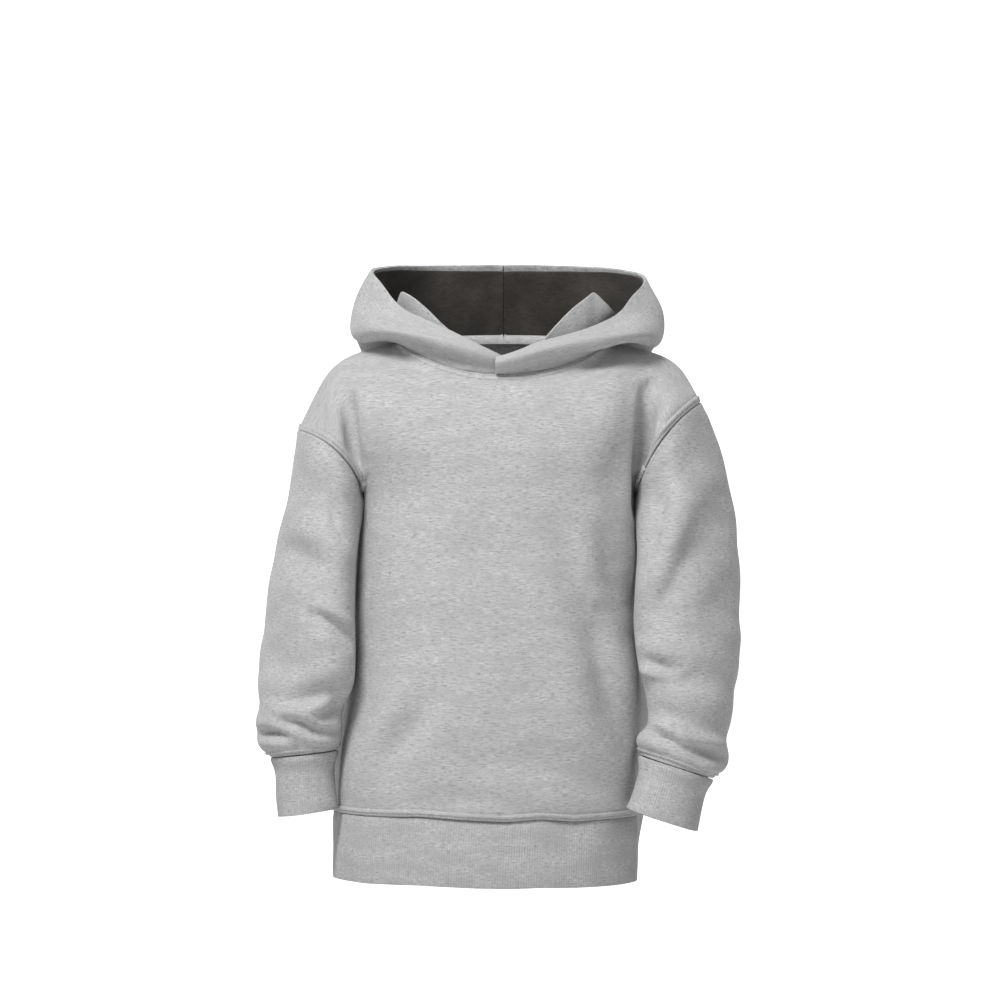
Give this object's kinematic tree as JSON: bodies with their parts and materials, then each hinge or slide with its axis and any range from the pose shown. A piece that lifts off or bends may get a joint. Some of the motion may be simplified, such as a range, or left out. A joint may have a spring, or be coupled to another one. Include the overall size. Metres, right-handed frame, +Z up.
{
  "type": "toddler hoodie",
  "caption": "Toddler's pullover hoodie in heather grey fleece, worn and hollow, with the hood down, a dark hood lining, set-in long sleeves, rib cuffs and a rib waistband.",
  "frame": {"origin": "centre of the neck opening at the height of the shoulder neck points, where the wearer's shoulders hold the garment up", "axes": "+Z up along the body, -Y the way the wearer faces, +X towards the wearer's left"},
  "size_m": [0.3695, 0.2232, 0.4696],
  "materials": {
    "fleece": "brushed-back heather fleece, light grey, matt",
    "rib": "heather 1x1 rib knit, light grey, matt",
    "lining": "charcoal jersey, matt"
  },
  "bodies": {
    "root": {"front": "fleece", "back": "fleece", "sleeve_right": "fleece", "sleeve_left": "fleece", "cuff_right": "rib", "cuff_left": "rib", "waistband": "rib", "hood_right": "fleece", "hood_left": "fleece", "hood_lining_right": "lining", "hood_lining_left": "lining", "hood_facing_right": "fleece", "hood_facing_left": "fleece"}
  },
  "joints": []
}
